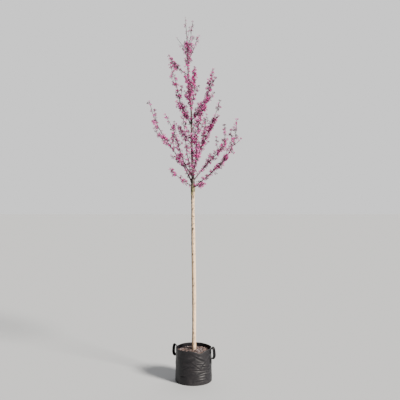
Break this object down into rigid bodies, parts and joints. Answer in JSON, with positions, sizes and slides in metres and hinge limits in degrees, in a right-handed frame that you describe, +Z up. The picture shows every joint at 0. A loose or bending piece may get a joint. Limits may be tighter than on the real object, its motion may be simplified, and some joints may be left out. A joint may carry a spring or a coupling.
{
  "type": "blossoming tree sapling in grow bag",
  "caption": "Leafless flowering half-standard tree with a straight clear trunk, a graft swelling and forked blossoming limbs, standing in a filled soft grow bag with loop handles.",
  "frame": {"origin": "middle of the bag's flat underside", "axes": "+Z up along the trunk, -Y towards the front, +X to the right seen from the front"},
  "size_m": [0.8708, 0.7489, 3.4055],
  "materials": {
    "bag": "woven black plastic cloth, slightly shiny",
    "strap": "black webbing",
    "mulch": "shredded bark over soil",
    "pale_bark": "smooth pale bark with dark pores",
    "dark_bark": "dark young bark",
    "blossom": "soft petals"
  },
  "bodies": {
    "root": {"bag": "bag", "soil": "mulch", "handle_left": "strap", "handle_right": "strap", "trunk": "pale_bark", "bough_high_left": "dark_bark", "bough_leader_right_mid": "dark_bark", "bough_low_left_back": "dark_bark", "bough_low_left_front": "dark_bark", "bough_low_left_long": "dark_bark", "bough_low_left_short": "dark_bark", "bough_low_right_back": "dark_bark", "bough_low_right_front": "dark_bark", "bough_low_right_long": "dark_bark", "bough_low_right_short": "dark_bark", "bough_low_right_wide": "dark_bark", "bough_mid_left": "dark_bark", "bough_mid_right_inner": "dark_bark", "bough_tall_left": "dark_bark", "bough_tall_right": "dark_bark", "bough_upper_back": "dark_bark", "bough_upper_front": "dark_bark", "bough_upper_right_front": "dark_bark", "mass_leader_tip": "blossom", "mass_high_left": "blossom", "mass_leader_left_low": "blossom", "mass_leader_left_mid": "blossom", "mass_leader_left_top": "blossom", "mass_leader_right_high": "blossom", "mass_leader_right_mid": "blossom", "mass_leader_right_top": "blossom", "mass_low_left_back": "blossom", "mass_low_left_front": "blossom", "mass_low_left_long": "blossom", "mass_low_left_short": "blossom", "mass_low_right_back": "blossom", "mass_low_right_front": "blossom", "mass_low_right_long": "blossom", "mass_low_right_short": "blossom", "mass_low_right_wide": "blossom", "mass_mid_left": "blossom", "mass_mid_right_inner": "blossom", "mass_mid_right_short": "blossom", "mass_mid_right_spur": "blossom", "mass_tall_left": "blossom", "mass_tall_right": "blossom", "mass_upper_back": "blossom", "mass_upper_front": "blossom", "mass_upper_right_front": "blossom"}
  },
  "joints": []
}
